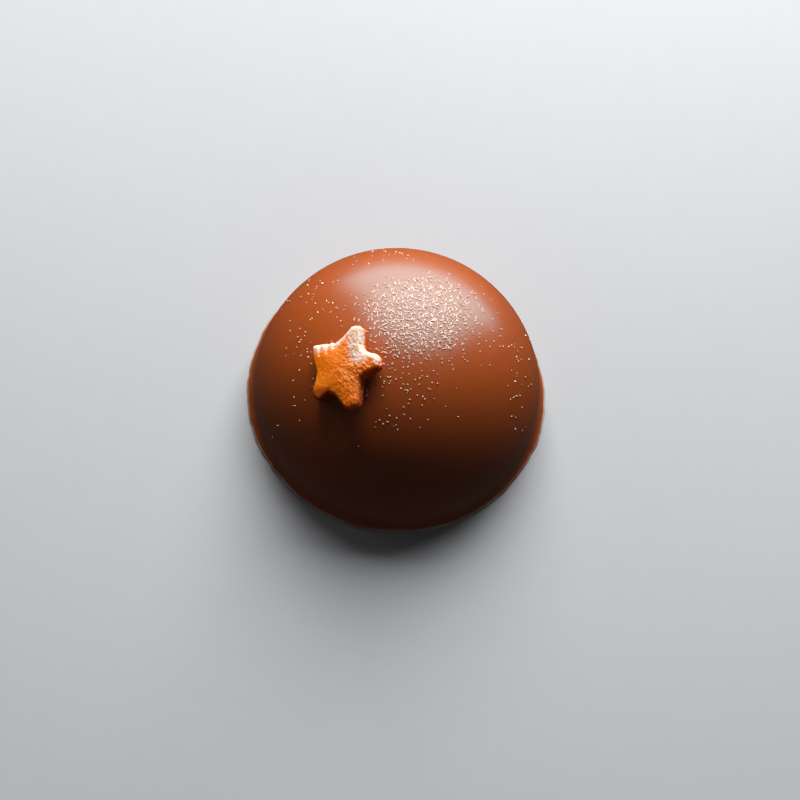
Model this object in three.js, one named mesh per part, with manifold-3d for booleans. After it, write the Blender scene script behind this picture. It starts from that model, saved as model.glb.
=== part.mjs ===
import * as THREE from 'three';
import { mergeVertices } from 'three/addons/utils/BufferGeometryUtils.js';
import Module from 'manifold-3d';

// A half-sphere milk chocolate praline with a gold sugar star pressed onto its front left, in millimetres.
// The origin is the middle of the flat underside, and the front faces -Y.

// Chocolate body: a half-sphere that flares at its foot into a thin uneven lip of chocolate.
const DOME_RADIUS = 14;
const DOME_LIFT = 0.45;
const DOME_STEPS = 22;
const ROUND_STEPS = 96;
const LIP_THICKNESS = 0.24;
const LIP_OVERHANG = 0.62;
const LIP_STEPS = 5;
const FLARE_SLOPE = 45;
const FLARE_STEPS = 5;

// Slow waves of the lip's edge: how many round the foot, how strong against the overhang, where they start.
const FOOT_WAVES = [
  { count: 3, strength: 0.07, start: 0.6 },
  { count: 7, strength: 0.06, start: 2.1 },
  { count: 13, strength: 0.05, start: 4.0 },
];

// Sugar star: where its seat lies on the dome, and how far its middle is from the seat's middle.
const STAR_TILT = 31.7;
const STAR_BEARING = 211.3;
const STAR_SHIFT_DOWN = -1.11;
const STAR_SHIFT_ROUND = 1.34;
const STAR_SINK = 0.3;
const STAR_CURVE_STEPS = 3;

// Heights of the star: rounded back edge, upright side, and a pillowed face that rises to a crown.
const BACK_ROUND = 0.35;
const SIDE_TOP = 0.9;
const FACE_ROUND = 0.45;
const CROWN_RISE = 0.5;

// How far the back edge draws the outline in, against the star's reach, and how wide the face rounds off.
const BACK_INSET = 0.1;
const BACK_STEPS = 4;
const FACE_ROUND_WIDTH = 0.5;
const FACE_SCALES = [1, 0.975, 0.94, 0.9, 0.84, 0.76, 0.65, 0.5, 0.3];

// The corners of the star's outline, in order round it: five uneven blunt arms, and the valleys between.
// Directions are in degrees from straight down the dome, reaches from the star's middle.
const STAR_CORNERS = [
  { place: 'lower left arm', direction: 10, reach: 3.8, round: 0.4 },
  { place: 'lower left arm', direction: 24, reach: 3.85, round: 0.4 },
  { place: 'valley', direction: 39, reach: 2.4, round: 0.4 },
  { place: 'bottom arm', direction: 71, reach: 4.0, round: 0.4 },
  { place: 'bottom arm', direction: 87, reach: 3.95, round: 0.4 },
  { place: 'valley', direction: 124, reach: 2.15, round: 0.4 },
  { place: 'right arm', direction: 150, reach: 3.75, round: 0.5 },
  { place: 'right arm', direction: 168, reach: 3.7, round: 0.35 },
  { place: 'valley', direction: 191, reach: 2.5, round: 0.4 },
  { place: 'top arm', direction: 217, reach: 4.2, round: 0.35 },
  { place: 'top arm', direction: 228, reach: 4.05, round: 0.3 },
  { place: 'valley', direction: 252, reach: 2.55, round: 0.4 },
  { place: 'left arm', direction: 296, reach: 3.85, round: 0.25 },
  { place: 'left arm', direction: 316, reach: 3.15, round: 0.5 },
  { place: 'valley', direction: 339, reach: 2.6, round: 0.5 },
];

// The seat in the chocolate is a little wider and deeper than the star.
const SEAT_GROWTH = 1.02;
const SEAT_GAP = 0.05;
const SEAT_CUT_HEIGHT = 3;

// Vertices nearer than this are one vertex.
const WELD = 1e-4;

const wasm = await Module();
wasm.setup();

// Points along a round stretch of the half outline, angles in degrees.
function roundStretch(middleRadius, middleHeight, radius, from, to, steps) {
  const points = [];
  for (let i = 0; i <= steps; i += 1) {
    const angle = THREE.MathUtils.degToRad(from + ((to - from) * i) / steps);
    const across = middleRadius + radius * Math.cos(angle);
    const up = middleHeight + radius * Math.sin(angle);
    points.push(new THREE.Vector2(across, up));
  }
  return points;
}

// The hollow curve of the flare: it leaves the lip at its slope and runs smoothly into the half-sphere.
function flareMiddle(lipEnd) {
  const slope = THREE.MathUtils.degToRad(FLARE_SLOPE);
  const outward = new THREE.Vector2(Math.cos(slope), Math.sin(slope));
  const start = new THREE.Vector2(lipEnd.x, lipEnd.y - DOME_LIFT);
  const radius = (start.lengthSq() - DOME_RADIUS ** 2) / (2 * (DOME_RADIUS - outward.dot(start)));
  return { radius, across: lipEnd.x + radius * outward.x, up: lipEnd.y + radius * outward.y };
}

// Half outline of the body, from the middle of the underside, round the lip and up to the top.
function bodyOutline() {
  const edge = LIP_THICKNESS / 2;
  const lipMiddle = DOME_RADIUS + LIP_OVERHANG - edge;
  const lip = roundStretch(lipMiddle, edge, edge, -90, FLARE_SLOPE, LIP_STEPS);
  const flare = flareMiddle(lip[LIP_STEPS]);
  const startAngle = THREE.MathUtils.radToDeg(Math.atan2(flare.up - DOME_LIFT, flare.across));
  const footFrom = 180 + FLARE_SLOPE;
  const footTo = 180 + startAngle;
  const foot = roundStretch(flare.across, flare.up, flare.radius, footFrom, footTo, FLARE_STEPS);
  const dome = roundStretch(0, DOME_LIFT, DOME_RADIUS, startAngle, 90, DOME_STEPS);
  const underside = new THREE.Vector2(0, 0);
  const top = new THREE.Vector2(0, DOME_LIFT + DOME_RADIUS);
  foot.shift();
  foot.pop();
  dome.pop();
  return [underside, ...lip, ...foot, ...dome, top];
}

// Strength of the lip's waves at one bearing round the foot.
function footWave(bearing) {
  let wave = 0;
  for (const { count, strength, start } of FOOT_WAVES) {
    wave += strength * Math.sin(count * bearing + start);
  }
  return wave;
}

// Pushes the lip's edge in and out, leaving the dome above it round.
function unevenFoot(geometry) {
  const position = geometry.getAttribute('position');
  for (let i = 0; i < position.count; i += 1) {
    const x = position.getX(i);
    const y = position.getY(i);
    const radius = Math.hypot(x, y);
    if (radius > DOME_RADIUS) {
      const wave = 1 + footWave(Math.atan2(y, x));
      const scale = (DOME_RADIUS + (radius - DOME_RADIUS) * wave) / radius;
      position.setXY(i, x * scale, y * scale);
    }
  }
}

// A point of the star's outline, direction in degrees.
function starPoint(direction, reach) {
  const angle = THREE.MathUtils.degToRad(direction);
  return new THREE.Vector2(reach * Math.cos(angle), reach * Math.sin(angle));
}

// The point at a distance from one point on the way to another.
function towards(from, to, distance) {
  const step = to.clone().sub(from);
  return from.clone().add(step.setLength(distance));
}

// Flat outline of the star: straight flanks with a rounded turn at each corner.
function starOutline() {
  const points = STAR_CORNERS.map(({ direction, reach }) => starPoint(direction, reach));
  const outline = new THREE.Shape();
  STAR_CORNERS.forEach(({ round }, i) => {
    const corner = points[i];
    const entry = towards(corner, points.at(i - 1), round);
    const exit = towards(corner, points[(i + 1) % points.length], round);
    if (i === 0) {
      outline.moveTo(entry.x, entry.y);
    } else {
      outline.lineTo(entry.x, entry.y);
    }
    outline.quadraticCurveTo(corner.x, corner.y, exit.x, exit.y);
  });
  outline.closePath();
  return outline;
}

// A closed solid for joining and cutting, made of a geometry's triangles.
function solidOf(geometry) {
  const plain = geometry.clone();
  plain.deleteAttribute('normal');
  plain.deleteAttribute('uv');
  const welded = mergeVertices(plain, WELD);
  const corners = welded.index.array;
  const triangles = [];
  for (let i = 0; i < corners.length; i += 3) {
    const [a, b, c] = corners.slice(i, i + 3);
    if (a !== b && b !== c && c !== a) {
      triangles.push(a, b, c);
    }
  }
  const mesh = new wasm.Mesh({
    numProp: 3,
    vertProperties: new Float32Array(welded.getAttribute('position').array),
    triVerts: new Uint32Array(triangles),
  });
  return new wasm.Manifold(mesh);
}

// The triangles of a closed solid as a geometry.
function geometryOf(solid) {
  const mesh = solid.getMesh();
  const geometry = new THREE.BufferGeometry();
  geometry.setAttribute('position', new THREE.BufferAttribute(mesh.vertProperties, 3));
  geometry.setIndex(new THREE.BufferAttribute(mesh.triVerts, 1));
  geometry.computeVertexNormals();
  return geometry;
}

// How far a point inside a closed outline is from its nearest side.
function edgeDistance(point, outline) {
  const nearest = new THREE.Vector3();
  let least = Infinity;
  outline.forEach((corner, i) => {
    const side = new THREE.Line3(corner, outline[(i + 1) % outline.length]);
    side.closestPointToPoint(point, true, nearest);
    least = Math.min(least, nearest.distanceTo(point));
  });
  return least;
}

// One ring of the star's back, which rounds outwards from the flat to the upright side.
function backRing(outline, step) {
  const angle = (Math.PI / 2) * (step / BACK_STEPS - 1);
  const scale = 1 - BACK_INSET * (1 - Math.cos(angle));
  const height = BACK_ROUND * (1 + Math.sin(angle));
  return outline.map(({ x, y }) => new THREE.Vector3(x * scale, y * scale, height));
}

// One ring of the star's face, which rises steeply at the edge, then flattens towards the crown.
function faceRing(outline, scale) {
  return outline.map((corner) => {
    const point = corner.clone().multiplyScalar(scale);
    const inward = Math.min(1, edgeDistance(point, outline) / FACE_ROUND_WIDTH);
    const pillow = Math.sqrt(1 - (1 - inward) ** 2);
    point.z = SIDE_TOP + FACE_ROUND * pillow + CROWN_RISE * (1 - scale ** 2);
    return point;
  });
}

// The star: its outline drawn in and out from ring to ring, closed at the back and on the crown.
function starGeometryOf(shape) {
  const outline = shape.getPoints(STAR_CURVE_STEPS).map(({ x, y }) => new THREE.Vector3(x, y, 0));
  outline.pop();
  const rings = [];
  for (let step = 0; step <= BACK_STEPS; step += 1) {
    rings.push(backRing(outline, step));
  }
  for (const scale of FACE_SCALES) {
    rings.push(faceRing(outline, scale));
  }
  const count = outline.length;
  const positions = rings.flat().flatMap((point) => point.toArray());
  const backMiddle = positions.length / 3;
  positions.push(0, 0, 0);
  positions.push(0, 0, SIDE_TOP + FACE_ROUND + CROWN_RISE);
  const triangles = [];
  const last = (rings.length - 1) * count;
  for (let i = 0; i < count; i += 1) {
    const next = (i + 1) % count;
    triangles.push(backMiddle, next, i);
    triangles.push(backMiddle + 1, last + i, last + next);
    for (let ring = 0; ring < last; ring += count) {
      const above = ring + count;
      triangles.push(ring + i, ring + next, above + next);
      triangles.push(ring + i, above + next, above + i);
    }
  }
  const geometry = new THREE.BufferGeometry();
  geometry.setAttribute('position', new THREE.Float32BufferAttribute(positions, 3));
  geometry.setIndex(triangles);
  geometry.computeVertexNormals();
  return geometry;
}

const sugarMaterial = new THREE.MeshStandardMaterial({ color: 0xd4822c, roughness: 0.5, metalness: 0.2 });
const star = new THREE.Mesh(starGeometryOf(starOutline()), sugarMaterial);
star.name = 'sugar_star';
star.position.set(STAR_SHIFT_DOWN, STAR_SHIFT_ROUND, DOME_RADIUS - STAR_SINK);

// The star's place on the dome: turned round the upright axis, then tilted down the slope.
const starLean = new THREE.Group();
starLean.rotation.y = THREE.MathUtils.degToRad(STAR_TILT);
starLean.add(star);
const starPlace = new THREE.Group();
starPlace.position.z = DOME_LIFT;
starPlace.rotation.z = THREE.MathUtils.degToRad(STAR_BEARING);
starPlace.add(starLean);

const praline = new THREE.Group();
praline.name = 'praline';
praline.add(starPlace);
praline.updateMatrixWorld(true);

// The body: the turned outline with its uneven lip, less the shallow seat that the star presses into it.
const bodyGeometry = new THREE.LatheGeometry(bodyOutline(), ROUND_STEPS);
bodyGeometry.rotateX(Math.PI / 2);
unevenFoot(bodyGeometry);
const seatGeometry = new THREE.ExtrudeGeometry(starOutline(), {
  depth: SEAT_CUT_HEIGHT,
  bevelEnabled: false,
  curveSegments: STAR_CURVE_STEPS,
});
seatGeometry.scale(SEAT_GROWTH, SEAT_GROWTH, 1);
seatGeometry.translate(0, 0, -SEAT_GAP);
seatGeometry.applyMatrix4(star.matrixWorld);
const body = solidOf(bodyGeometry).subtract(solidOf(seatGeometry));

const chocolateMaterial = new THREE.MeshStandardMaterial({ color: 0x5e2d17, roughness: 0.35, metalness: 0 });
const dome = new THREE.Mesh(geometryOf(body), chocolateMaterial);
dome.name = 'chocolate_dome';
praline.add(dome);

export default praline;
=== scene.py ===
# %% [markdown]
# # A chocolate praline with a gold sugar star
# The praline is a moulded half-sphere of milk chocolate, one bite wide, standing on the thin lip of
# chocolate that ran over the edge of its mould. A thick star of grainy gold sugar is pressed onto its
# front left, and pearl luster dust is brushed over its crown.
# The solid model fixes every size. This lesson dresses it with fine meshes and finishes, in metres.

# %% Load the solid model and keep its box
import math

import bpy
import numpy as np
from mathutils import Matrix, Vector, noise


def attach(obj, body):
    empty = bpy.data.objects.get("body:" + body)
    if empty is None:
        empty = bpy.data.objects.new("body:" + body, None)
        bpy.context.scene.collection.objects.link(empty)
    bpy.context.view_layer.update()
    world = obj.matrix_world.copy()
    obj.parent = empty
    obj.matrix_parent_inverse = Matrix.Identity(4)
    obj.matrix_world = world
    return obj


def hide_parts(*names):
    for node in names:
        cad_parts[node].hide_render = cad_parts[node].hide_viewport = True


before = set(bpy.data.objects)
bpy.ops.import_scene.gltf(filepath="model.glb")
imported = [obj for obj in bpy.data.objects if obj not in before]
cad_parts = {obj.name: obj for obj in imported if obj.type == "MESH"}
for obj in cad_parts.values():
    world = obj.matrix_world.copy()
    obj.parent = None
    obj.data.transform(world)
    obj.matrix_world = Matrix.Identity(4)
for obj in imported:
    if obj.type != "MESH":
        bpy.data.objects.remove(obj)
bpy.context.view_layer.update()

MM = 0.001

# %% [markdown]
# ## Where the viewer stands
# The eye looks down on the praline from the front, about 65 degrees above the table, close enough for the
# foot to look a little wider than the crown. The camera is leaned by a few degrees, so the foot's right
# side sits lower in the picture. The three axes are written out and put straight into the camera's matrix,
# which is easier to check than three rotation angles.

# %% Camera
DOME_RADIUS = 14.0 * MM
DOME_LIFT = 0.45 * MM
VIEW_ELEVATION = math.radians(64.9)
VIEW_LEAN = math.radians(8.5)
VIEW_DISTANCE = 200.0 * MM
LENS, SENSOR = 91.9, 36
PICTURE = 800
SHIFT = (0.0045, -0.011)

dome_middle = Vector((0, 0, DOME_LIFT))
to_viewer = Vector((0, -math.cos(VIEW_ELEVATION), math.sin(VIEW_ELEVATION)))
level_right = Vector((1, 0, 0))
level_up = to_viewer.cross(level_right)
picture_right = level_right * math.cos(VIEW_LEAN) + level_up * math.sin(VIEW_LEAN)
picture_up = level_up * math.cos(VIEW_LEAN) - level_right * math.sin(VIEW_LEAN)

camera_data = bpy.data.cameras.new("viewer")
camera_data.lens = LENS
camera_data.sensor_width = SENSOR
camera_data.shift_x, camera_data.shift_y = SHIFT
camera_data.clip_start = 0.005
camera = bpy.data.objects.new("viewer", camera_data)
camera.matrix_world = Matrix.Translation(dome_middle + to_viewer * VIEW_DISTANCE) @ Matrix(
    (picture_right, picture_up, to_viewer)
).transposed().to_4x4()
bpy.context.collection.objects.link(camera)
bpy.context.scene.camera = camera
bpy.context.scene.view_settings.view_transform = "Standard"
print("camera at mm:", [round(v / MM, 1) for v in camera.matrix_world.translation])

# %% [markdown]
# ## Studio light
# A soft light stands behind the praline, shades it from the bright crown to the deep front and throws its
# shadow towards the viewer. The broad satin highlight is the reflection of a wide bright wall, from the
# table up to overhead. Shade and highlight are made by two lights, one seen only by matt surfaces and one
# seen only in the gloss, because each can then be set to its own size. A weak fill shapes the left, and a
# dim sky keeps the shade from going black. Area lights are used because their size sets the softness.

# %% Lights and sky
def softbox(name, bearing, elevation, distance, width, height, power, colour=(1, 1, 1)):
    """An area light facing the dome. Bearing 0 is behind it, positive to the right, in degrees."""
    turn, rise = math.radians(bearing), math.radians(elevation)
    away = Vector((math.sin(turn) * math.cos(rise), math.cos(turn) * math.cos(rise), math.sin(rise)))
    data = bpy.data.lights.new(name, "AREA")
    data.shape = "RECTANGLE"
    data.size, data.size_y = width, height
    data.energy = power
    data.color = colour
    light = bpy.data.objects.new(name, data)
    light.location = dome_middle + away * distance
    light.rotation_euler = away.to_track_quat("Z", "Y").to_euler()
    bpy.context.collection.objects.link(light)
    return light


key_behind = softbox("key_behind", 0, 40.6, 0.26, 0.22, 0.18, 1.92)
fill_left = softbox("fill_left", -70, 25, 0.30, 0.12, 0.16, 0.045)
key_behind.visible_glossy = False
fill_left.visible_glossy = False

WALL_DISTANCE, WALL_LEFT, WALL_RIGHT, WALL_TOP = 0.20, -0.128, 0.205, 0.76
WALL_RADIANCE = 7.0
WALL_COLOUR = (0.27, 0.90, 1.0)
wall_width = WALL_RIGHT - WALL_LEFT
wall_power = WALL_RADIANCE * math.pi * wall_width * WALL_TOP
gloss_wall = softbox("gloss_wall", 0, 0, WALL_DISTANCE, wall_width, WALL_TOP, wall_power, WALL_COLOUR)
gloss_wall.location = ((WALL_LEFT + WALL_RIGHT) / 2, WALL_DISTANCE, WALL_TOP / 2)
gloss_wall.visible_diffuse = False

sky = bpy.data.worlds.new("studio_sky")
bpy.context.scene.world = sky
sky.use_nodes = True
sky_nodes, sky_links = sky.node_tree.nodes, sky.node_tree.links
sky_nodes.clear()
dim_sky = sky_nodes.new("ShaderNodeBackground")
dim_sky.inputs["Color"].default_value = (0.9, 0.95, 1.0, 1)
dim_sky.inputs["Strength"].default_value = 0.052
seen_sky = sky_nodes.new("ShaderNodeBackground")
seen_sky.inputs["Color"].default_value = (0.72, 0.73, 0.75, 1)
seen_sky.inputs["Strength"].default_value = 1.0
gloss_sky = sky_nodes.new("ShaderNodeBackground")
gloss_sky.inputs["Color"].default_value = (0.85, 0.95, 1.0, 1)
gloss_sky.inputs["Strength"].default_value = 0.045
sky_ray = sky_nodes.new("ShaderNodeLightPath")
sky_gloss_choice = sky_nodes.new("ShaderNodeMixShader")
sky_choice = sky_nodes.new("ShaderNodeMixShader")
sky_out = sky_nodes.new("ShaderNodeOutputWorld")
sky_links.new(sky_ray.outputs["Is Glossy Ray"], sky_gloss_choice.inputs[0])
sky_links.new(dim_sky.outputs[0], sky_gloss_choice.inputs[1])
sky_links.new(gloss_sky.outputs[0], sky_gloss_choice.inputs[2])
sky_links.new(sky_ray.outputs["Is Camera Ray"], sky_choice.inputs[0])
sky_links.new(sky_gloss_choice.outputs[0], sky_choice.inputs[1])
sky_links.new(seen_sky.outputs[0], sky_choice.inputs[2])
sky_links.new(sky_choice.outputs[0], sky_out.inputs[0])

# %% [markdown]
# ## Shared shader pieces
# Chocolate, sugar and floor are all slightly uneven in tone, so one node group makes a soft mottling mask
# from two sizes of noise. Pearl dust shows on the chocolate and on the star, so a second group turns a
# mask into colour and roughness; the same mask also carries painted sheen on the chocolate and painted
# highlight on the star. Groups keep the effect in one place, and each material sets its own numbers on
# the group's sockets.

# %% Node group helpers and the mottle group
def new_group(name, inputs, outputs):
    """An empty shader node group with named float or colour sockets."""
    group = bpy.data.node_groups.new(name, "ShaderNodeTree")
    for label, kind, value in inputs:
        socket = group.interface.new_socket(label, in_out="INPUT", socket_type=kind)
        socket.default_value = value
    for label, kind in outputs:
        group.interface.new_socket(label, in_out="OUTPUT", socket_type=kind)
    nodes = group.nodes
    return group, nodes.new("NodeGroupInput"), nodes.new("NodeGroupOutput")


def math_node(nodes, links, operation, first, second, clamp=False):
    """A Math node whose two inputs are sockets or plain numbers."""
    node = nodes.new("ShaderNodeMath")
    node.operation = operation
    node.use_clamp = clamp
    for slot, value in zip(node.inputs, (first, second)):
        if isinstance(value, (int, float)):
            slot.default_value = value
        else:
            links.new(value, slot)
    return node.outputs[0]


def mix_colour(nodes, links, amount, first, second):
    """A colour mix whose inputs are sockets, numbers or colours."""
    node = nodes.new("ShaderNodeMix")
    node.data_type = "RGBA"
    for slot, value in ((node.inputs[0], amount), (node.inputs[6], first), (node.inputs[7], second)):
        if isinstance(value, (int, float, tuple)):
            slot.default_value = value
        else:
            links.new(value, slot)
    return node.outputs[2]


mottle, mottle_in, mottle_out = new_group(
    "soft_mottle",
    [("Coarse Scale", "NodeSocketFloat", 120.0), ("Fine Scale", "NodeSocketFloat", 900.0),
     ("Fine Share", "NodeSocketFloat", 0.4)],
    [("Mask", "NodeSocketFloat")],
)
place = mottle.nodes.new("ShaderNodeTexCoord")
coarse = mottle.nodes.new("ShaderNodeTexNoise")
coarse.inputs["Detail"].default_value = 3
fine = mottle.nodes.new("ShaderNodeTexNoise")
fine.inputs["Detail"].default_value = 4
share = mottle.nodes.new("ShaderNodeMix")
mottle.links.new(place.outputs["Object"], coarse.inputs["Vector"])
mottle.links.new(place.outputs["Object"], fine.inputs["Vector"])
mottle.links.new(mottle_in.outputs["Coarse Scale"], coarse.inputs["Scale"])
mottle.links.new(mottle_in.outputs["Fine Scale"], fine.inputs["Scale"])
mottle.links.new(mottle_in.outputs["Fine Share"], share.inputs[0])
mottle.links.new(coarse.outputs[0], share.inputs[2])
mottle.links.new(fine.outputs[0], share.inputs[3])
mottle.links.new(share.outputs[0], mottle_out.inputs["Mask"])
print("group:", mottle.name)

# %% Pearl dust and painted sheen group
# Its mask mixes a cover colour over the base: pearl dust with painted sheen on the chocolate, powder with
# painted highlight on the star.
pearl_and_sheen, pearl_in, pearl_out = new_group(
    "pearl_dust_and_sheen",
    [("Dust And Sheen", "NodeSocketFloat", 0.0), ("Under Color", "NodeSocketColor", (0.3, 0.1, 0.03, 1)),
     ("Under Roughness", "NodeSocketFloat", 0.3), ("Pearl Color", "NodeSocketColor", (0.9, 0.8, 0.76, 1)),
     ("Pearl Roughness", "NodeSocketFloat", 0.4)],
    [("Color", "NodeSocketColor"), ("Roughness", "NodeSocketFloat")],
)
covered = mix_colour(pearl_and_sheen.nodes, pearl_and_sheen.links, pearl_in.outputs["Dust And Sheen"], pearl_in.outputs["Under Color"],
                    pearl_in.outputs["Pearl Color"])
rougher = pearl_and_sheen.nodes.new("ShaderNodeMix")
pearl_and_sheen.links.new(pearl_in.outputs["Dust And Sheen"], rougher.inputs[0])
pearl_and_sheen.links.new(pearl_in.outputs["Under Roughness"], rougher.inputs[2])
pearl_and_sheen.links.new(pearl_in.outputs["Pearl Roughness"], rougher.inputs[3])
pearl_and_sheen.links.new(covered, pearl_out.inputs["Color"])
pearl_and_sheen.links.new(rougher.outputs[0], pearl_out.inputs["Roughness"])
print("group:", pearl_and_sheen.name)

# %% [markdown]
# ## Floor
# A plain pale sheet carries the praline. It is wide enough that its edge stays out of sight. It isn't part of
# the object, so it is not attached to any body. The light that it throws back is switched off, so that the
# chocolate's front stays as deep as it is on a dark table.

# %% Floor
def add_mesh(name, places, faces):
    """A mesh object from arrays, smooth shaded, linked to the scene."""
    data = bpy.data.meshes.new(name)
    data.from_pydata(places.tolist(), [], faces)
    data.polygons.foreach_set("use_smooth", [True] * len(data.polygons))
    data.update()
    thing = bpy.data.objects.new(name, data)
    bpy.context.collection.objects.link(thing)
    return thing


def new_material(name):
    """An empty node material and its Principled shader."""
    material = bpy.data.materials.new(name)
    material.use_nodes = True
    nodes, links = material.node_tree.nodes, material.node_tree.links
    nodes.clear()
    shader = nodes.new("ShaderNodeBsdfPrincipled")
    out = nodes.new("ShaderNodeOutputMaterial")
    links.new(shader.outputs[0], out.inputs["Surface"])
    return material, nodes, links, shader


def place_group(nodes, group, **values):
    """A node group in a material, with numbers or colours set on its sockets."""
    node = nodes.new("ShaderNodeGroup")
    node.node_tree = group
    for label, value in values.items():
        node.inputs[label.replace("_", " ")].default_value = value
    return node


FLOOR_HALF = 1.5
floor_corners = np.array([(-1, -1, 0), (1, -1, 0), (1, 1, 0), (-1, 1, 0)]) * FLOOR_HALF
floor = add_mesh("floor", floor_corners, [(0, 1, 2, 3)])
floor_finish, nodes, links, shader = new_material("pale_floor")
floor_tone = place_group(nodes, mottle, Coarse_Scale=18.0, Fine_Scale=400.0, Fine_Share=0.3)
PALE_GREY, PALER_GREY = (0.36, 0.365, 0.375, 1), (0.40, 0.405, 0.415, 1)
grey = mix_colour(nodes, links, floor_tone.outputs["Mask"], PALE_GREY, PALER_GREY)
links.new(grey, shader.inputs["Base Color"])
shader.inputs["Roughness"].default_value = 0.8
shader.inputs["Specular IOR Level"].default_value = 0.0
floor.data.materials.append(floor_finish)
floor.visible_glossy = False
floor.visible_diffuse = False
print("floor:", floor.name)

# %% [markdown]
# ## Chocolate body
# The real body was cast in a polished mould, so the dome is a true half-sphere and all its unevenness is
# down at the foot, which flares into a thin lip of chocolate. A turned outline gives exactly that: one
# list of heights and widths, swept round the upright axis. The lip's edge is then pushed in and out
# by the same slow waves as in the solid, and by finer nicks that only the eye needs.

# %% Half outline of the body
LIP_THICKNESS = 0.24 * MM
LIP_OVERHANG = 0.62 * MM
FLARE_SLOPE = 45
UNDERSIDE_RINGS, LIP_STEPS, FLARE_STEPS, DOME_STEPS = 34, 12, 24, 96
FIRST_RING = 0.4 * MM


def round_stretch(across, up, radius, start, end, steps):
    """Points on a round stretch of the half outline, angles in degrees."""
    angles = np.radians(np.linspace(start, end, steps + 1))
    return np.stack([across + radius * np.cos(angles), up + radius * np.sin(angles)], axis=1)


edge = LIP_THICKNESS / 2
lip_middle = DOME_RADIUS + LIP_OVERHANG - edge
underside_reach = np.linspace(FIRST_RING, lip_middle, UNDERSIDE_RINGS)[:-1]
underside = np.stack([underside_reach, np.zeros_like(underside_reach)], axis=1)
lip = round_stretch(lip_middle, edge, edge, -90, FLARE_SLOPE, LIP_STEPS)
slope = np.array((math.cos(math.radians(FLARE_SLOPE)), math.sin(math.radians(FLARE_SLOPE))))
lip_end = lip[-1] - (0, DOME_LIFT)
flare_radius = (lip_end @ lip_end - DOME_RADIUS**2) / (2 * (DOME_RADIUS - slope @ lip_end))
flare_middle = lip[-1] + flare_radius * slope
dome_start = math.degrees(math.atan2(flare_middle[1] - DOME_LIFT, flare_middle[0]))
flare = round_stretch(*flare_middle, flare_radius, 180 + FLARE_SLOPE, 180 + dome_start, FLARE_STEPS)[1:-1]
dome_arc = round_stretch(0, DOME_LIFT, DOME_RADIUS, dome_start, 90, DOME_STEPS)[:-1]
half_outline = np.concatenate([underside, lip, flare, dome_arc])
print("half outline points:", len(half_outline))

# %% Sweep the outline and uneven the lip
ROUND_STEPS = 320
FOOT_WAVES = ((3, 0.07, 0.6), (7, 0.06, 2.1), (13, 0.05, 4.0))
NICK_WAVES = ((29, 0.035, 1.3), (47, 0.03, 0.2), (83, 0.025, 5.1))

bearings = np.arange(ROUND_STEPS) * (2 * math.pi / ROUND_STEPS)
wave = sum(strength * np.sin(count * bearings + start) for count, strength, start in FOOT_WAVES + NICK_WAVES)
radius = np.repeat(half_outline[:, :1], ROUND_STEPS, axis=1)
overhang = np.clip(radius - DOME_RADIUS, 0, None)
radius = np.where(overhang > 0, DOME_RADIUS + overhang * (1 + wave), radius)
height = np.repeat(half_outline[:, 1:], ROUND_STEPS, axis=1)
rings = np.stack([radius * np.cos(bearings), radius * np.sin(bearings), height], axis=2)
body_places = np.concatenate([rings.reshape(-1, 3), [(0, 0, 0), (0, 0, DOME_LIFT + DOME_RADIUS)]])

body_faces = []
last_ring = (len(half_outline) - 1) * ROUND_STEPS
for step in range(ROUND_STEPS):
    following = (step + 1) % ROUND_STEPS
    body_faces.append((len(body_places) - 2, following, step))
    body_faces.append((len(body_places) - 1, last_ring + step, last_ring + following))
    for ring in range(0, last_ring, ROUND_STEPS):
        above = ring + ROUND_STEPS
        body_faces.append((ring + step, ring + following, above + following, above + step))
body = add_mesh("chocolate_body", body_places, body_faces)
print("body vertices:", len(body_places))

# %% [markdown]
# ## Pearl haze and painted highlight on the body
# The dust was brushed on, so it lies as a satin haze on the crown's right, with a clear upper edge and a
# slow fade towards the viewer. The haze sits where the highlight falls, and the paler colour that it
# brings is partly pearl dust and partly painted sheen. A pale line of painted highlight runs along the
# lip's edge, standing in for light caught on its rounded rim, and the flat underside was scraped. Each of
# these is a number for every vertex, stored as a mesh attribute, because the place on the praline decides
# them and not a texture.

# %% Where a spot of the picture lies on the dome
def on_dome(x, y):
    """Places on the dome that the viewer sees at these picture spots, the picture being 800 wide and high."""
    focal = LENS / SENSOR * PICTURE
    across = (np.asarray(x, float) - PICTURE / 2) / focal + SHIFT[0] * PICTURE / focal
    up = (PICTURE / 2 - np.asarray(y, float)) / focal + SHIFT[1] * PICTURE / focal
    ray = across[..., None] * np.array(picture_right) + up[..., None] * np.array(picture_up)
    ray = ray - np.array(to_viewer)
    ray /= np.linalg.norm(ray, axis=-1, keepdims=True)
    eye = np.array(to_viewer) * VIEW_DISTANCE
    along = ray @ eye
    inside = along**2 - (VIEW_DISTANCE**2 - DOME_RADIUS**2)
    reach = -along - np.sqrt(np.clip(inside, 0, None))
    return eye + reach[..., None] * ray + np.array(dome_middle), inside > 0


def smooth_step(low, high, value):
    """0 below low, 1 above high, and a soft rise between."""
    share = np.clip((value - low) / (high - low), 0, 1)
    return share * share * (3 - 2 * share)


def store(thing, name, values):
    """A number for every vertex, kept with the mesh."""
    thing.data.attributes.new(name, "FLOAT", "POINT").data.foreach_set("value", values.astype(np.float32))


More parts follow.
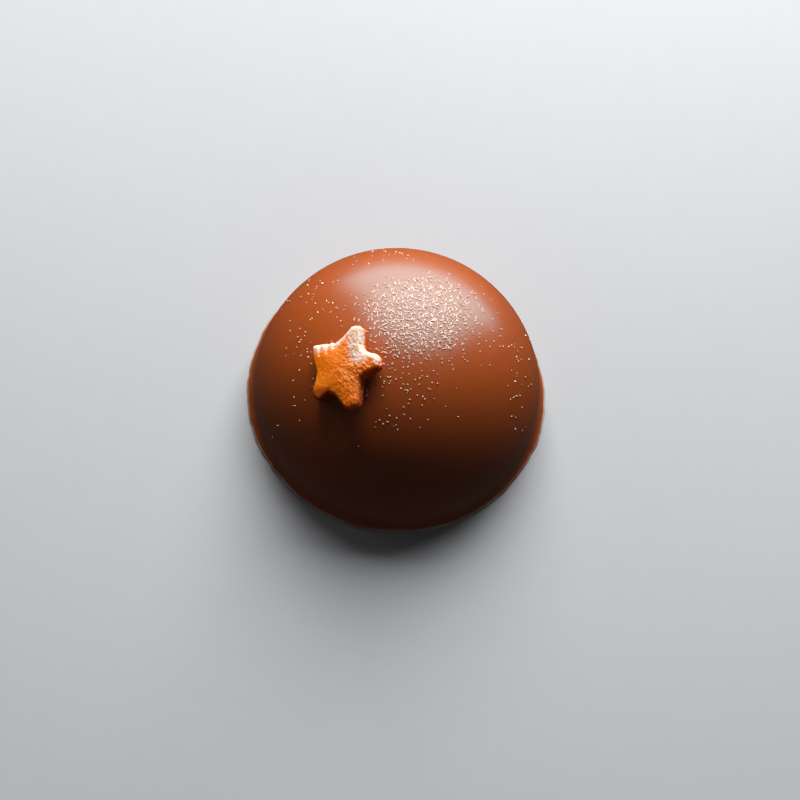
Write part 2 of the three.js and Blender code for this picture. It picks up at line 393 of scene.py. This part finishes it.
# %% Haze, painted lip highlight and underside masks
normals = (body_places - np.array(dome_middle)) / DOME_RADIUS
HAZE_MIDDLE = on_dome(420, 310)[0]
HAZE_SIDEWAYS, HAZE_BACK, HAZE_FRONT = 24, 13, 20
haze_axis = (HAZE_MIDDLE - np.array(dome_middle)) / DOME_RADIUS
haze_side = np.cross((0.0, 1.0, 0.0), haze_axis)
haze_side /= np.linalg.norm(haze_side)
haze_back = np.cross(haze_axis, haze_side)
sideways = np.degrees(np.arctan2(normals @ haze_side, normals @ haze_axis))
backward = np.degrees(np.arctan2(normals @ haze_back, normals @ haze_axis))
haze_depth = np.where(backward > 0, backward / HAZE_BACK, backward / HAZE_FRONT)
haze_reach = np.hypot(sideways / HAZE_SIDEWAYS, haze_depth)
haze = 1 - smooth_step(0.5, 1.2, haze_reach)
# The haze mask also marks where painted sheen pales the brown, centred where the highlight falls.
store(body, "dust_and_sheen_haze", haze)

foot_height = body_places[:, 2] / LIP_THICKNESS
# Painted highlight: a pale line along the lip's outer edge, stronger in some places round the lip than in
# others.
edge_band = smooth_step(0.25, 0.5, half_outline[:, 1] / LIP_THICKNESS)
edge_band *= smooth_step(DOME_RADIUS + 0.42 * MM, DOME_RADIUS + 0.54 * MM, half_outline[:, 0])
edge_highlight_strength = 0.65 + 0.2 * np.sin(5 * bearings + 0.4) + 0.15 * np.sin(17 * bearings + 2.0)
edge_highlight = np.outer(edge_band, edge_highlight_strength).ravel()
store(body, "lip_edge_highlight", np.append(edge_highlight, (0, 0)))
store(body, "underside", (foot_height < 0.01).astype(float))
print("haze covers vertices:", int((haze > 0.5).sum()))

# %% [markdown]
# ## Milk chocolate finish
# Milk chocolate is a warm brown that glows a little, because light travels a short way through it, and a
# polished mould leaves a soft gloss. A Principled shader with a little subsurface gives the glow. Its
# gloss is tinted slightly cool, as a breath of pearl does. Where the dust lies, the pearl group makes the
# brown paler and rougher, and a fine bump breaks the gloss up; the paler colour is partly pearl dust and
# partly painted sheen. The lip's edge is mixed towards a paler pink as a painted highlight. The mottling
# is kept faint.

# %% Chocolate material
def attribute(nodes, name):
    """The value socket of a stored mesh attribute."""
    node = nodes.new("ShaderNodeAttribute")
    node.attribute_name = name
    return node.outputs["Fac"]


chocolate, nodes, links, shader = new_material("milk_chocolate")
tone = place_group(nodes, mottle, Coarse_Scale=150.0, Fine_Scale=1400.0, Fine_Share=0.35)
brown = mix_colour(nodes, links, tone.outputs["Mask"], (0.285, 0.053, 0.0062, 1), (0.335, 0.064, 0.0078, 1))
# Painted highlight: the lip's edge line is mixed towards pale pink.
edge_highlighted = mix_colour(nodes, links, attribute(nodes, "lip_edge_highlight"), brown, (0.52, 0.38, 0.32, 1))
dust_and_sheen = place_group(nodes, pearl_and_sheen, Under_Roughness=0.33, Pearl_Color=(0.36, 0.16, 0.11, 1), Pearl_Roughness=0.5)
# Painted sheen: within the haze the brown is mixed towards a paler pink, on top of the real pearl dust.
haze_mask = math_node(nodes, links, "MULTIPLY", attribute(nodes, "dust_and_sheen_haze"), 0.5)
links.new(haze_mask, dust_and_sheen.inputs["Dust And Sheen"])
links.new(edge_highlighted, dust_and_sheen.inputs["Under Color"])
links.new(dust_and_sheen.outputs["Color"], shader.inputs["Base Color"])
links.new(dust_and_sheen.outputs["Roughness"], shader.inputs["Roughness"])
shader.inputs["Subsurface Weight"].default_value = 0.12
shader.inputs["Subsurface Radius"].default_value = (1.0, 0.35, 0.12)
shader.inputs["Subsurface Scale"].default_value = 0.6 * MM
shader.inputs["Specular IOR Level"].default_value = 0.56
shader.inputs["Specular Tint"].default_value = (0.7, 0.97, 1.0, 1)
scrape = nodes.new("ShaderNodeTexNoise")
scrape_place = nodes.new("ShaderNodeTexCoord")
stretch = nodes.new("ShaderNodeMapping")
stretch.inputs["Scale"].default_value = (120, 2600, 1)
links.new(scrape_place.outputs["Object"], stretch.inputs["Vector"])
links.new(stretch.outputs[0], scrape.inputs["Vector"])
scrape.inputs["Scale"].default_value = 1.0
scrape_height = math_node(nodes, links, "MULTIPLY", scrape.outputs[0], attribute(nodes, "underside"))
dust_grain = place_group(nodes, mottle, Coarse_Scale=3800.0, Fine_Scale=7000.0, Fine_Share=0.3)
dust_height = math_node(nodes, links, "MULTIPLY", dust_grain.outputs["Mask"], attribute(nodes, "dust_and_sheen_haze"))
relief = math_node(nodes, links, "ADD", math_node(nodes, links, "MULTIPLY", dust_height, 3.0), scrape_height)
bump = nodes.new("ShaderNodeBump")
bump.inputs["Strength"].default_value = 0.5
bump.inputs["Distance"].default_value = 0.06 * MM
links.new(relief, bump.inputs["Height"])
links.new(bump.outputs[0], shader.inputs["Normal"])
body.data.materials.append(chocolate)
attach(body, "root")
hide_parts("chocolate_dome")
print("material:", chocolate.name)

# %% [markdown]
# ## Sugar star
# The star is pressed from coarse sugar, so it is thick, blunt and grainy, and no two arms are alike. The
# fine mesh is drawn from the same corners as the solid: a rounded outline, drawn in from ring to ring
# over the back, the side and the face. The face is a pillow, whose height follows from how far a point is
# from the outline, with a low crown in the middle. The star is worked in millimetres in its own flat
# frame and then laid on the dome by one matrix.

# %% Outline of the star
STAR_CORNERS = (
    (10, 3.8, 0.4), (24, 3.85, 0.4), (39, 2.4, 0.4), (71, 4.0, 0.4), (87, 3.95, 0.4), (124, 2.15, 0.4),
    (150, 3.75, 0.5), (168, 3.7, 0.35), (191, 2.5, 0.4), (217, 4.2, 0.35), (228, 4.05, 0.3), (252, 2.55, 0.4),
    (296, 3.85, 0.25), (316, 3.15, 0.5), (339, 2.6, 0.5),
)


def star_outline(spacing):
    """Points round the star, evenly spaced, with each corner turned in a soft curve."""
    directions, reaches, turns = np.array(STAR_CORNERS).T
    turned = np.radians(directions)
    corners = np.stack([reaches * np.cos(turned), reaches * np.sin(turned)], axis=1)
    path = []
    for before, corner, after, turn in zip(np.roll(corners, 1, 0), corners, np.roll(corners, -1, 0), turns):
        entry = corner + (before - corner) * turn / np.linalg.norm(before - corner)
        leave = corner + (after - corner) * turn / np.linalg.norm(after - corner)
        for t in np.linspace(0, 1, 9):
            path.append((1 - t) ** 2 * entry + 2 * t * (1 - t) * corner + t**2 * leave)
    path = np.array(path)
    closed = np.concatenate([path, path[:1]])
    walked = np.concatenate([[0], np.cumsum(np.linalg.norm(np.diff(closed, axis=0), axis=1))])
    stops = np.linspace(0, walked[-1], int(walked[-1] / spacing), endpoint=False)
    return np.stack([np.interp(stops, walked, closed[:, k]) for k in range(2)], axis=1)


outline = star_outline(0.06)
print("star outline points:", len(outline))

# %% Rings of the star
BACK_ROUND, SIDE_TOP, FACE_ROUND, CROWN_RISE = 0.35, 1.05, 0.4, 0.25
BACK_INSET, FACE_ROUND_WIDTH = 0.1, 0.35
FACE_RINGS = 64

fine_outline = star_outline(0.02)


def face_height(points, scale):
    """Heights of the pillowed face over points inside the outline."""
    gaps = np.linalg.norm(points[:, None] - fine_outline[None], axis=2).min(axis=1)
    inward = np.clip(gaps / FACE_ROUND_WIDTH, 0, 1)
    return SIDE_TOP + FACE_ROUND * np.sqrt(1 - (1 - inward) ** 2) + CROWN_RISE * (1 - scale**2)


quarter = np.radians(np.linspace(0, 90, 13))
back = [(s, 0) for s in np.linspace(0.05, 0.86, 12)]
back_edge = [(1 - BACK_INSET * (1 - math.sin(a)), BACK_ROUND * (1 - math.cos(a))) for a in quarter]
side = [(1, h) for h in np.linspace(BACK_ROUND, SIDE_TOP, 13)[1:-1]]
star_rings = [np.column_stack([outline * s, np.full(len(outline), h)]) for s, h in back + back_edge + side]
for scale in 1 - 0.98 * np.linspace(0, 1, FACE_RINGS) ** 1.25:
    star_rings.append(np.column_stack([outline * scale, face_height(outline * scale, scale)]))
middles = [(0, 0, 0), (0, 0, SIDE_TOP + FACE_ROUND + CROWN_RISE)]
flat_star = np.concatenate(star_rings + [middles])

count = len(outline)
star_faces = []
last_ring = (len(star_rings) - 1) * count
for step in range(count):
    following = (step + 1) % count
    star_faces.append((len(flat_star) - 2, following, step))
    star_faces.append((len(flat_star) - 1, last_ring + step, last_ring + following))
    for ring in range(0, last_ring, count):
        star_faces.append((ring + step, ring + following, ring + count + following, ring + count + step))
star = add_mesh("gold_star", flat_star, star_faces)
print("star vertices:", len(flat_star))

# %% [markdown]
# ## Sugar grains
# The pressed grains show as small round bumps, larger ones with finer ones between them. Distance to the
# nearest point of a Voronoi pattern makes such cobbles: highest at each grain's middle and low in the seams.
# Each grain also sits a little higher or lower than the next. The face is rubbed smooth on its left, so
# the grains grow stronger towards its right. Three short grooves part the upper edge of the left arm into
# teeth, and the tip of the right arm is nibbled.

# %% Push the surface out into grains
GRAIN_SIZES = (0.40, 0.22)
GRAIN_RISES = (0.04, 0.03)
ROUGH_SIDE = np.array((-0.81, 0.58))
COBBLE_REACH, GRAIN_UNEVEN, SEED_SPREAD = 0.62, 0.8, 7.3

star_normals = np.empty(len(flat_star) * 3, np.float32)
star.data.vertices.foreach_get("normal", star_normals)
star_normals = star_normals.reshape(-1, 3)
roughness = 0.25 + 0.75 * smooth_step(-1.2, 1.4, flat_star[:, :2] @ ROUGH_SIDE)
grain_shade = np.zeros(len(flat_star))
grained = flat_star.copy()
for index, (spot, normal) in enumerate(zip(flat_star, star_normals)):
    for size, rise in zip(GRAIN_SIZES, GRAIN_RISES):
        distances, seeds = noise.voronoi(Vector(spot / size))
        chance = noise.cell_vector(seeds[0] * SEED_SPREAD)
        cobble = max(0.0, 1 - (distances[0] / COBBLE_REACH) ** 2) - 0.5
        grained[index] += normal * rise * roughness[index] * (cobble + GRAIN_UNEVEN * (chance.x - 0.5))
    grain_shade[index] = chance.y
GROOVES = ((0.99, -2.95, 0.8), (0.21, -2.75, 0.8), (-0.42, -2.55, 0.5), (-3.60, 1.49, 0.2))
GROOVE_RUN = np.array((0.46, 0.89))
GROOVE_WIDTH, GROOVE_DEPTH = 0.24, 0.20


def reach_from_line(points, start, end):
    """How far points lie from a straight stretch."""
    line = end - start
    share = np.clip((points - start) @ line / (line @ line), 0, 1)
    return np.linalg.norm(points - start - share[:, None] * line, axis=1)


for x, y, length in GROOVES:
    start = np.array((x, y))
    apart = reach_from_line(flat_star[:, :2], start, start + GROOVE_RUN * length)
    grained -= star_normals * (GROOVE_DEPTH * (1 - smooth_step(0, GROOVE_WIDTH, apart)))[:, None]
store(star, "grain_shade", grain_shade)
print("grain rise in mm:", round(float(np.abs(grained - flat_star).max()), 3))

# %% Lay the star on the dome
STAR_TILT, STAR_BEARING = math.radians(31.7), math.radians(211.3)
STAR_SHIFT = Vector((-1.11, 1.34, 14 - 0.3)) * MM
star_place = (
    Matrix.Translation(dome_middle)
    @ Matrix.Rotation(STAR_BEARING, 4, "Z")
    @ Matrix.Rotation(STAR_TILT, 4, "Y")
    @ Matrix.Translation(STAR_SHIFT)
    @ Matrix.Scale(MM, 4)
)
star.data.vertices.foreach_set("co", grained.astype(np.float32).ravel())
star.data.transform(star_place)
star.data.update()
print("star top in mm:", round(max(v.co.z for v in star.data.vertices) / MM, 2))

# %% [markdown]
# ## Cream powder, painted highlight and painted shade on the star
# A cream colour lies thick on the top arm, along the upper edge of the right arm and on the teeth, the
# edges that face the light behind; it is partly powder and partly painted highlight. Elsewhere the cream
# only lies on the grain faces that turn towards the light, as painted highlight. The sides are painted a
# deeper orange as shade, and the lower left arm, with the lower half of the star more weakly, is darkened
# by painted shade from a mask of its own. Bands along straight stretches give the cream soft ends, and
# every mask is again a number for each vertex.

# %% Cream, painted side shade and painted leg shade masks
# The direction the light comes from; grain faces turned towards it get painted highlight.
LIGHT_FROM = np.array((0.12, 0.82, 0.56))
laid_normals = np.empty(len(flat_star) * 3, np.float32)
star.data.vertices.foreach_get("normal", laid_normals)
# Where the cream lies thick: partly powder, partly painted highlight on edges that face the light.
CREAM_BANDS = (
    ((1.5, -3.2), (-0.45, -2.6), 0.40, 0.90, 0.9), ((-0.75, -2.45), (-2.7, -3.0), 0.30, 0.65, 1.0),
    ((-3.2, -2.6), (-2.4, -0.4), 0.65, 1.50, 1.0), ((-2.4, -0.4), (-3.55, 0.63), 0.35, 0.75, 0.8),
    ((-3.6, 0.7), (-3.4, 1.3), 0.15, 0.45, 0.8),
)
grain_highlight = smooth_step(0.1, 0.5, laid_normals.reshape(-1, 3) @ LIGHT_FROM)
cream_mask = np.zeros(len(flat_star))
for start, end, full, gone, strength in CREAM_BANDS:
    apart = reach_from_line(flat_star[:, :2], np.array(start), np.array(end))
    cream_mask = np.maximum(cream_mask, strength * (1 - smooth_step(full, gone, apart)))
CREAM_BOTTOM, CREAM_TOP = 0.4, 0.85
LEG_PAINTED_SHADE, LOW_ARM_PAINTED_SHADE = 0.75, 0.25
low_arm = smooth_step(0.6, 2.2, flat_star[:, 1])
cream_mask = cream_mask * (0.75 + 0.25 * grain_highlight) + 0.34 * roughness * grain_highlight * (1 - 0.7 * low_arm)
store(star, "cream_powder_and_highlight", np.clip(cream_mask, 0, 1) * smooth_step(CREAM_BOTTOM, CREAM_TOP, flat_star[:, 2]))
# Painted shade: the star's sides are darkened to a deeper orange.
store(star, "side_painted_shade", 1 - smooth_step(0.05, 0.6, star_normals[:, 2]))
# Painted shade: the lower left arm is darkened, and the lower half of the star more weakly.
lower_part = smooth_step(1.5, 2.1, flat_star[:, :2] @ GROOVE_RUN)
leg = lower_part * smooth_step(0.2, 0.9, flat_star[:, 0] - flat_star[:, 1])
store(star, "leg_shade", np.maximum(LEG_PAINTED_SHADE * leg, LOW_ARM_PAINTED_SHADE * low_arm))
print("film covers vertices:", int((cream_mask > 0.5).sum()))

# %% [markdown]
# ## Gold sugar finish
# Each grain is an orange-gold sugar block. Its tone varies from block to block, painted shade darkens the
# sides and the lower arms, and the pearl group lays the cream over it, partly powder and partly painted
# highlight. Sugar lets light through, so the shader has a strong subsurface, which also makes the sides
# glow below a bright face.

# %% Star material
gold, nodes, links, shader = new_material("gold_sugar")
grain_tone = place_group(nodes, mottle, Coarse_Scale=500.0, Fine_Scale=3500.0, Fine_Share=0.5)
block_share = math_node(nodes, links, "MULTIPLY", attribute(nodes, "grain_shade"), 0.6)
mottle_share = math_node(nodes, links, "MULTIPLY", grain_tone.outputs["Mask"], 0.4)
grain_mix = math_node(nodes, links, "ADD", block_share, mottle_share, clamp=True)
orange = mix_colour(nodes, links, grain_mix, (0.80, 0.14, 0.002, 1), (0.97, 0.28, 0.010, 1))
# Painted shade: the sides are mixed towards a deeper orange.
side_shaded = mix_colour(nodes, links, attribute(nodes, "side_painted_shade"), orange, (0.70, 0.12, 0.006, 1))
# Painted shade: the lower arms are mixed towards dark brown.
shaded = mix_colour(nodes, links, attribute(nodes, "leg_shade"), side_shaded, (0.20, 0.028, 0.003, 1))
# The cream layer is partly powder and partly painted highlight.
cream_layer = place_group(nodes, pearl_and_sheen, Pearl_Color=(0.72, 0.57, 0.45, 1))
links.new(shaded, cream_layer.inputs["Under Color"])
links.new(attribute(nodes, "cream_powder_and_highlight"), cream_layer.inputs["Dust And Sheen"])
links.new(cream_layer.outputs["Color"], shader.inputs["Base Color"])
shader.inputs["Roughness"].default_value = 0.6
shader.inputs["Specular IOR Level"].default_value = 0.08
shader.inputs["Subsurface Weight"].default_value = 0.7
shader.inputs["Subsurface Radius"].default_value = (1.0, 0.45, 0.12)
shader.inputs["Subsurface Scale"].default_value = 0.9 * MM
star.data.materials.append(gold)
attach(star, "root")
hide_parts("sugar_star")
print("material:", gold.name)

# %% [markdown]
# ## Luster dust
# Luster dust is made of mica flakes, thin and bright, each a fifth of a millimetre or so. On the crown they
# cling together in short crooked strings, and elsewhere they lie as single specks. Each is painted a
# brightness of its own, from dull to pearl, as a painted glint that makes the dust sparkle, and the
# strings are painted fainter towards the rim of the bed. Every flake is a squashed six-sided crystal of
# twelve triangles, and all of them are joined in one mesh from arrays. The random draw is seeded, so the
# dust is the same on each run.

# %% Scatter the flakes
rng = np.random.default_rng(41)
BED_MIDDLE = np.array((418, 311))
BED_WIDE, BED_BACK, BED_FRONT, BED_DEEP = 64, 37, 46, 40


def shaken_bed(spacing):
    """Picture spots of the dense dust: an evenly shaken grid that thins out towards its rim."""
    x, y = np.meshgrid(np.arange(350, 495, spacing), np.arange(266, 376, spacing))
    bed = np.stack([x.ravel(), y.ravel()], axis=1) + rng.uniform(-0.45, 0.45, (x.size, 2)) * spacing
    away = bed - BED_MIDDLE
    depth = np.where(away[:, 1] < 0, BED_BACK, BED_FRONT)
    reach = np.hypot(away[:, 0] / BED_WIDE, away[:, 1] / depth)
    return bed[rng.random(len(bed)) < 0.95 * (1 - smooth_step(0.55, 1.15, reach))]


def strings(starts, joined, shortest, longest):
    """Crooked strings of flakes: the picture spots where each flake starts and where it ends."""
    heading = rng.uniform(0, 2 * math.pi, len(starts))
    pieces = []
    for _ in range(joined):
        heading = heading + rng.normal(0, 0.6, len(starts))
        steps = rng.uniform(shortest, longest, len(starts))
        ends = starts + np.stack([np.cos(heading), np.sin(heading)], axis=1) * steps[:, None]
        pieces.append(np.concatenate([starts, ends], axis=1))
        starts = ends
    return np.concatenate(pieces)


BED_SPACING = 3.2
SPECKS = (
    ((408, 357), (28, 9), 80), ((400, 384), (24, 9), 45), ((405, 415), (24, 12), 26),
    ((322, 296), (24, 20), 60), ((303, 352), (9, 18), 24), ((522, 375), (8, 32), 34),
    ((392, 254), (20, 4), 24), ((300, 420), (20, 10), 8), ((495, 340), (14, 26), 24),
)
bed_strings = strings(shaken_bed(BED_SPACING), 2, 1.0, 2.0)
speck_spots = np.concatenate([rng.normal(middle, spread, (amount, 2)) for middle, spread, amount in SPECKS])
speck_strings = strings(speck_spots, 1, 0.5, 1.6)
dust_lines = np.concatenate([bed_strings, speck_strings])
BED_LIFT, SPECK_LIFT = 0.2, 0.65
lifted = np.concatenate([np.full(len(bed_strings), BED_LIFT), np.full(len(speck_strings), SPECK_LIFT)])
bed_widths = rng.uniform(0.08, 0.13, len(bed_strings))
speck_widths = rng.uniform(0.08, 0.16, len(speck_strings))
widths = np.concatenate([bed_widths, speck_widths]) * MM
from_middle = bed_strings[:, :2] - BED_MIDDLE
bed_reach = np.hypot(from_middle[:, 0] / BED_WIDE, from_middle[:, 1] / BED_DEEP)
# Painted glint: each flake's brightness is drawn at random and fades towards the bed's rim.
bed_painted_glint = rng.uniform(0.4, 1, len(bed_strings)) * (1 - 0.4 * smooth_step(0.4, 1.1, bed_reach))
painted_glint = np.concatenate([bed_painted_glint, 0.2 + 0.8 * rng.random(len(speck_strings)) ** 1.5])
starts, starts_seen = on_dome(dust_lines[:, 0], dust_lines[:, 1])
ends, ends_seen = on_dome(dust_lines[:, 2], dust_lines[:, 3])
seen = starts_seen & ends_seen
starts, ends, lifted = starts[seen], ends[seen], lifted[seen, None]
flake_width, painted_glint = widths[seen], painted_glint[seen]
spots = (starts + ends) / 2
outward = (spots - np.array(dome_middle)) / DOME_RADIUS
print("flakes:", len(spots))

# %% Build the flakes as one mesh
FLAKE_SIDES = 6
SKYWARD = np.array((0.0, 0.3, 0.95))
flake_length = np.linalg.norm(ends - starts, axis=1) + 0.06 * MM
flake_thick = flake_width * 0.65
along = (ends - starts) / np.linalg.norm(ends - starts, axis=1, keepdims=True)
facing = outward * (1 - lifted) + SKYWARD * lifted + rng.normal(0, 0.2, (len(spots), 3))
across = np.cross(facing, along)
across /= np.linalg.norm(across, axis=1, keepdims=True)
up = np.cross(along, across)
middles = spots + outward * (flake_thick * 0.6)[:, None]

angles = np.arange(FLAKE_SIDES) * (2 * math.pi / FLAKE_SIDES)
rim = (
    middles[:, None, :]
    + along[:, None, :] * (np.cos(angles)[None, :, None] * flake_length[:, None, None] / 2)
    + across[:, None, :] * (np.sin(angles)[None, :, None] * flake_width[:, None, None] / 2)
)
peak = middles + up * flake_thick[:, None] / 2
pit = middles - up * flake_thick[:, None] / 2
flake_places = np.concatenate([rim, peak[:, None, :], pit[:, None, :]], axis=1).reshape(-1, 3)
flake_faces = []
for first in range(0, len(flake_places), FLAKE_SIDES + 2):
    for step in range(FLAKE_SIDES):
        following = (step + 1) % FLAKE_SIDES
        flake_faces.append((first + step, first + following, first + FLAKE_SIDES))
        flake_faces.append((first + following, first + step, first + FLAKE_SIDES + 1))
flakes = add_mesh("luster_flakes", flake_places, flake_faces)
flakes.data.polygons.foreach_set("use_smooth", [False] * len(flakes.data.polygons))
store(flakes, "painted_glint", np.repeat(painted_glint, FLAKE_SIDES + 2))
print("flake triangles:", len(flake_faces))

# %% Luster material
luster, nodes, links, shader = new_material("pearl_luster")
luster_tone = place_group(nodes, mottle, Coarse_Scale=900.0, Fine_Scale=5000.0, Fine_Share=0.5)
DULL_FLAKE, PEARL_FLAKE, WHITE_FLAKE = (0.50, 0.30, 0.22, 1), (0.86, 0.63, 0.51, 1), (0.98, 0.82, 0.71, 1)
pearl_tone = mix_colour(nodes, links, luster_tone.outputs["Mask"], PEARL_FLAKE, WHITE_FLAKE)
# Painted glint: each flake is mixed from dull to pearl by its glint.
flake_colour = mix_colour(nodes, links, attribute(nodes, "painted_glint"), DULL_FLAKE, pearl_tone)
links.new(flake_colour, shader.inputs["Base Color"])
shader.inputs["Roughness"].default_value = 0.4
shader.inputs["Specular IOR Level"].default_value = 0.2
flakes.data.materials.append(luster)
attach(flakes, "root")
print("material:", luster.name)
